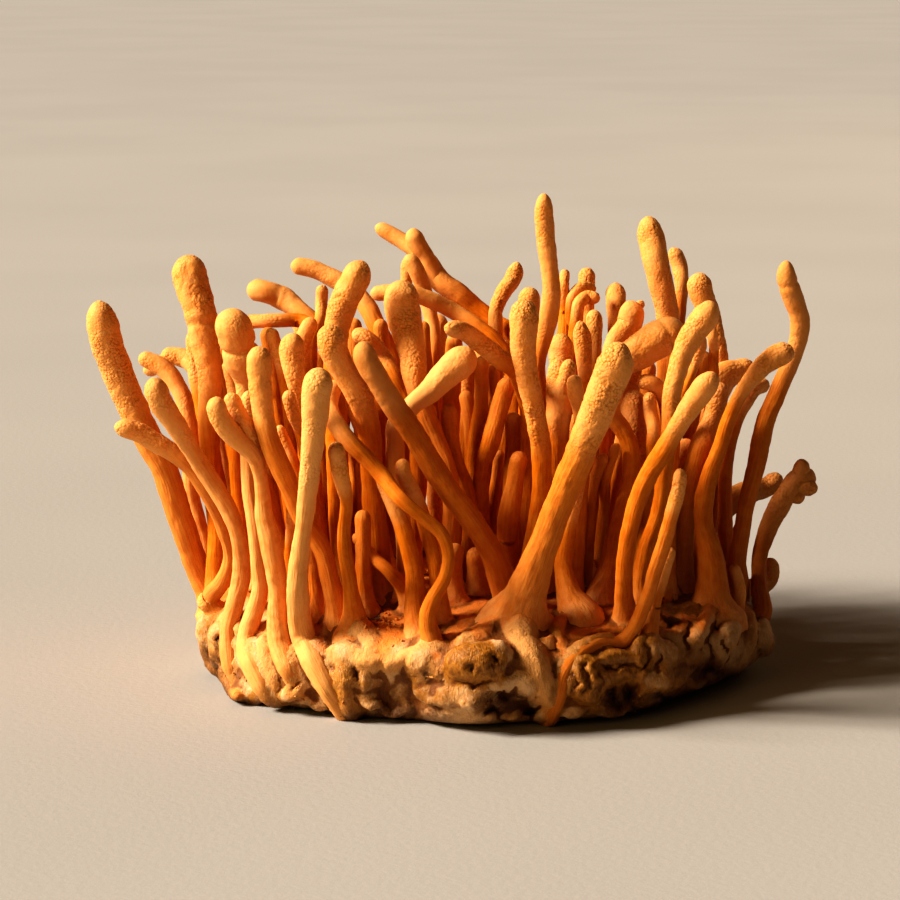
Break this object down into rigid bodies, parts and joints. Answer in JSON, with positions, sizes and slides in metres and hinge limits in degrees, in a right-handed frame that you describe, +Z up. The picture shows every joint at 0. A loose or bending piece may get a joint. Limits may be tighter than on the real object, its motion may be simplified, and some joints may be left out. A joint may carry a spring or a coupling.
{
  "type": "cordyceps bunch",
  "caption": "Bunch of cordyceps: orange club-shaped fruiting bodies flaring out of a round, lumpy cake of pale mycelium, standing on its flat underside.",
  "frame": {"origin": "centre of the flat underside of the mycelium base", "axes": "+Z up, -Y towards the viewer of the picture, +X to the viewer's right"},
  "size_m": [0.0962, 0.0851, 0.0642],
  "materials": {
    "pale_mycelium": null,
    "orange_flesh": "matt, slightly translucent orange flesh, smooth below and pimply and paler on the heads"
  },
  "bodies": {
    "root": {"mycelium_base": "pale_mycelium", "stroma_back_arching": "orange_flesh", "stroma_back_long": "orange_flesh", "stroma_back_lying": "orange_flesh", "stroma_back_slim": "orange_flesh", "stroma_back_thumb": "orange_flesh", "stroma_back_upright": "orange_flesh", "stroma_cluster_bulb": "orange_flesh", "stroma_cluster_round": "orange_flesh", "stroma_crossing_pale": "orange_flesh", "stroma_diagonal_dark": "orange_flesh", "stroma_fat_crossing": "orange_flesh", "stroma_fore_forked": "orange_flesh", "stroma_fore_pale": "orange_flesh", "stroma_fore_second": "orange_flesh", "stroma_fore_tall": "orange_flesh", "stroma_fore_thin": "orange_flesh", "stroma_great_front": "orange_flesh", "stroma_left_bent": "orange_flesh", "stroma_left_bulb": "orange_flesh", "stroma_left_club": "orange_flesh", "stroma_left_inner": "orange_flesh", "stroma_left_low": "orange_flesh", "stroma_left_short": "orange_flesh", "stroma_left_slim": "orange_flesh", "stroma_left_tall": "orange_flesh", "stroma_mid_club": "orange_flesh", "stroma_mid_hooked": "orange_flesh", "stroma_mid_leaning": "orange_flesh", "stroma_mid_left_club": "orange_flesh", "stroma_mid_right_club": "orange_flesh", "stroma_mid_twin_tip": "orange_flesh", "stroma_rear_01": "orange_flesh", "stroma_rear_02": "orange_flesh", "stroma_rear_03": "orange_flesh", "stroma_rear_04": "orange_flesh", "stroma_rear_05": "orange_flesh", "stroma_rear_06": "orange_flesh", "stroma_rear_07": "orange_flesh", "stroma_rear_08": "orange_flesh", "stroma_rear_09": "orange_flesh", "stroma_rear_10": "orange_flesh", "stroma_rear_11": "orange_flesh", "stroma_rear_12": "orange_flesh", "stroma_rear_13": "orange_flesh", "stroma_right_back_club": "orange_flesh", "stroma_right_behind": "orange_flesh", "stroma_right_column": "orange_flesh", "stroma_right_curved": "orange_flesh", "stroma_right_dark": "orange_flesh", "stroma_right_fore": "orange_flesh", "stroma_right_knobby": "orange_flesh", "stroma_right_long": "orange_flesh", "stroma_right_pointing": "orange_flesh", "stroma_right_small": "orange_flesh", "stroma_right_tall": "orange_flesh", "stroma_right_thick": "orange_flesh", "stroma_tallest": "orange_flesh", "stroma_winding": "orange_flesh", "stroma_winding_twin": "orange_flesh"}
  },
  "joints": []
}
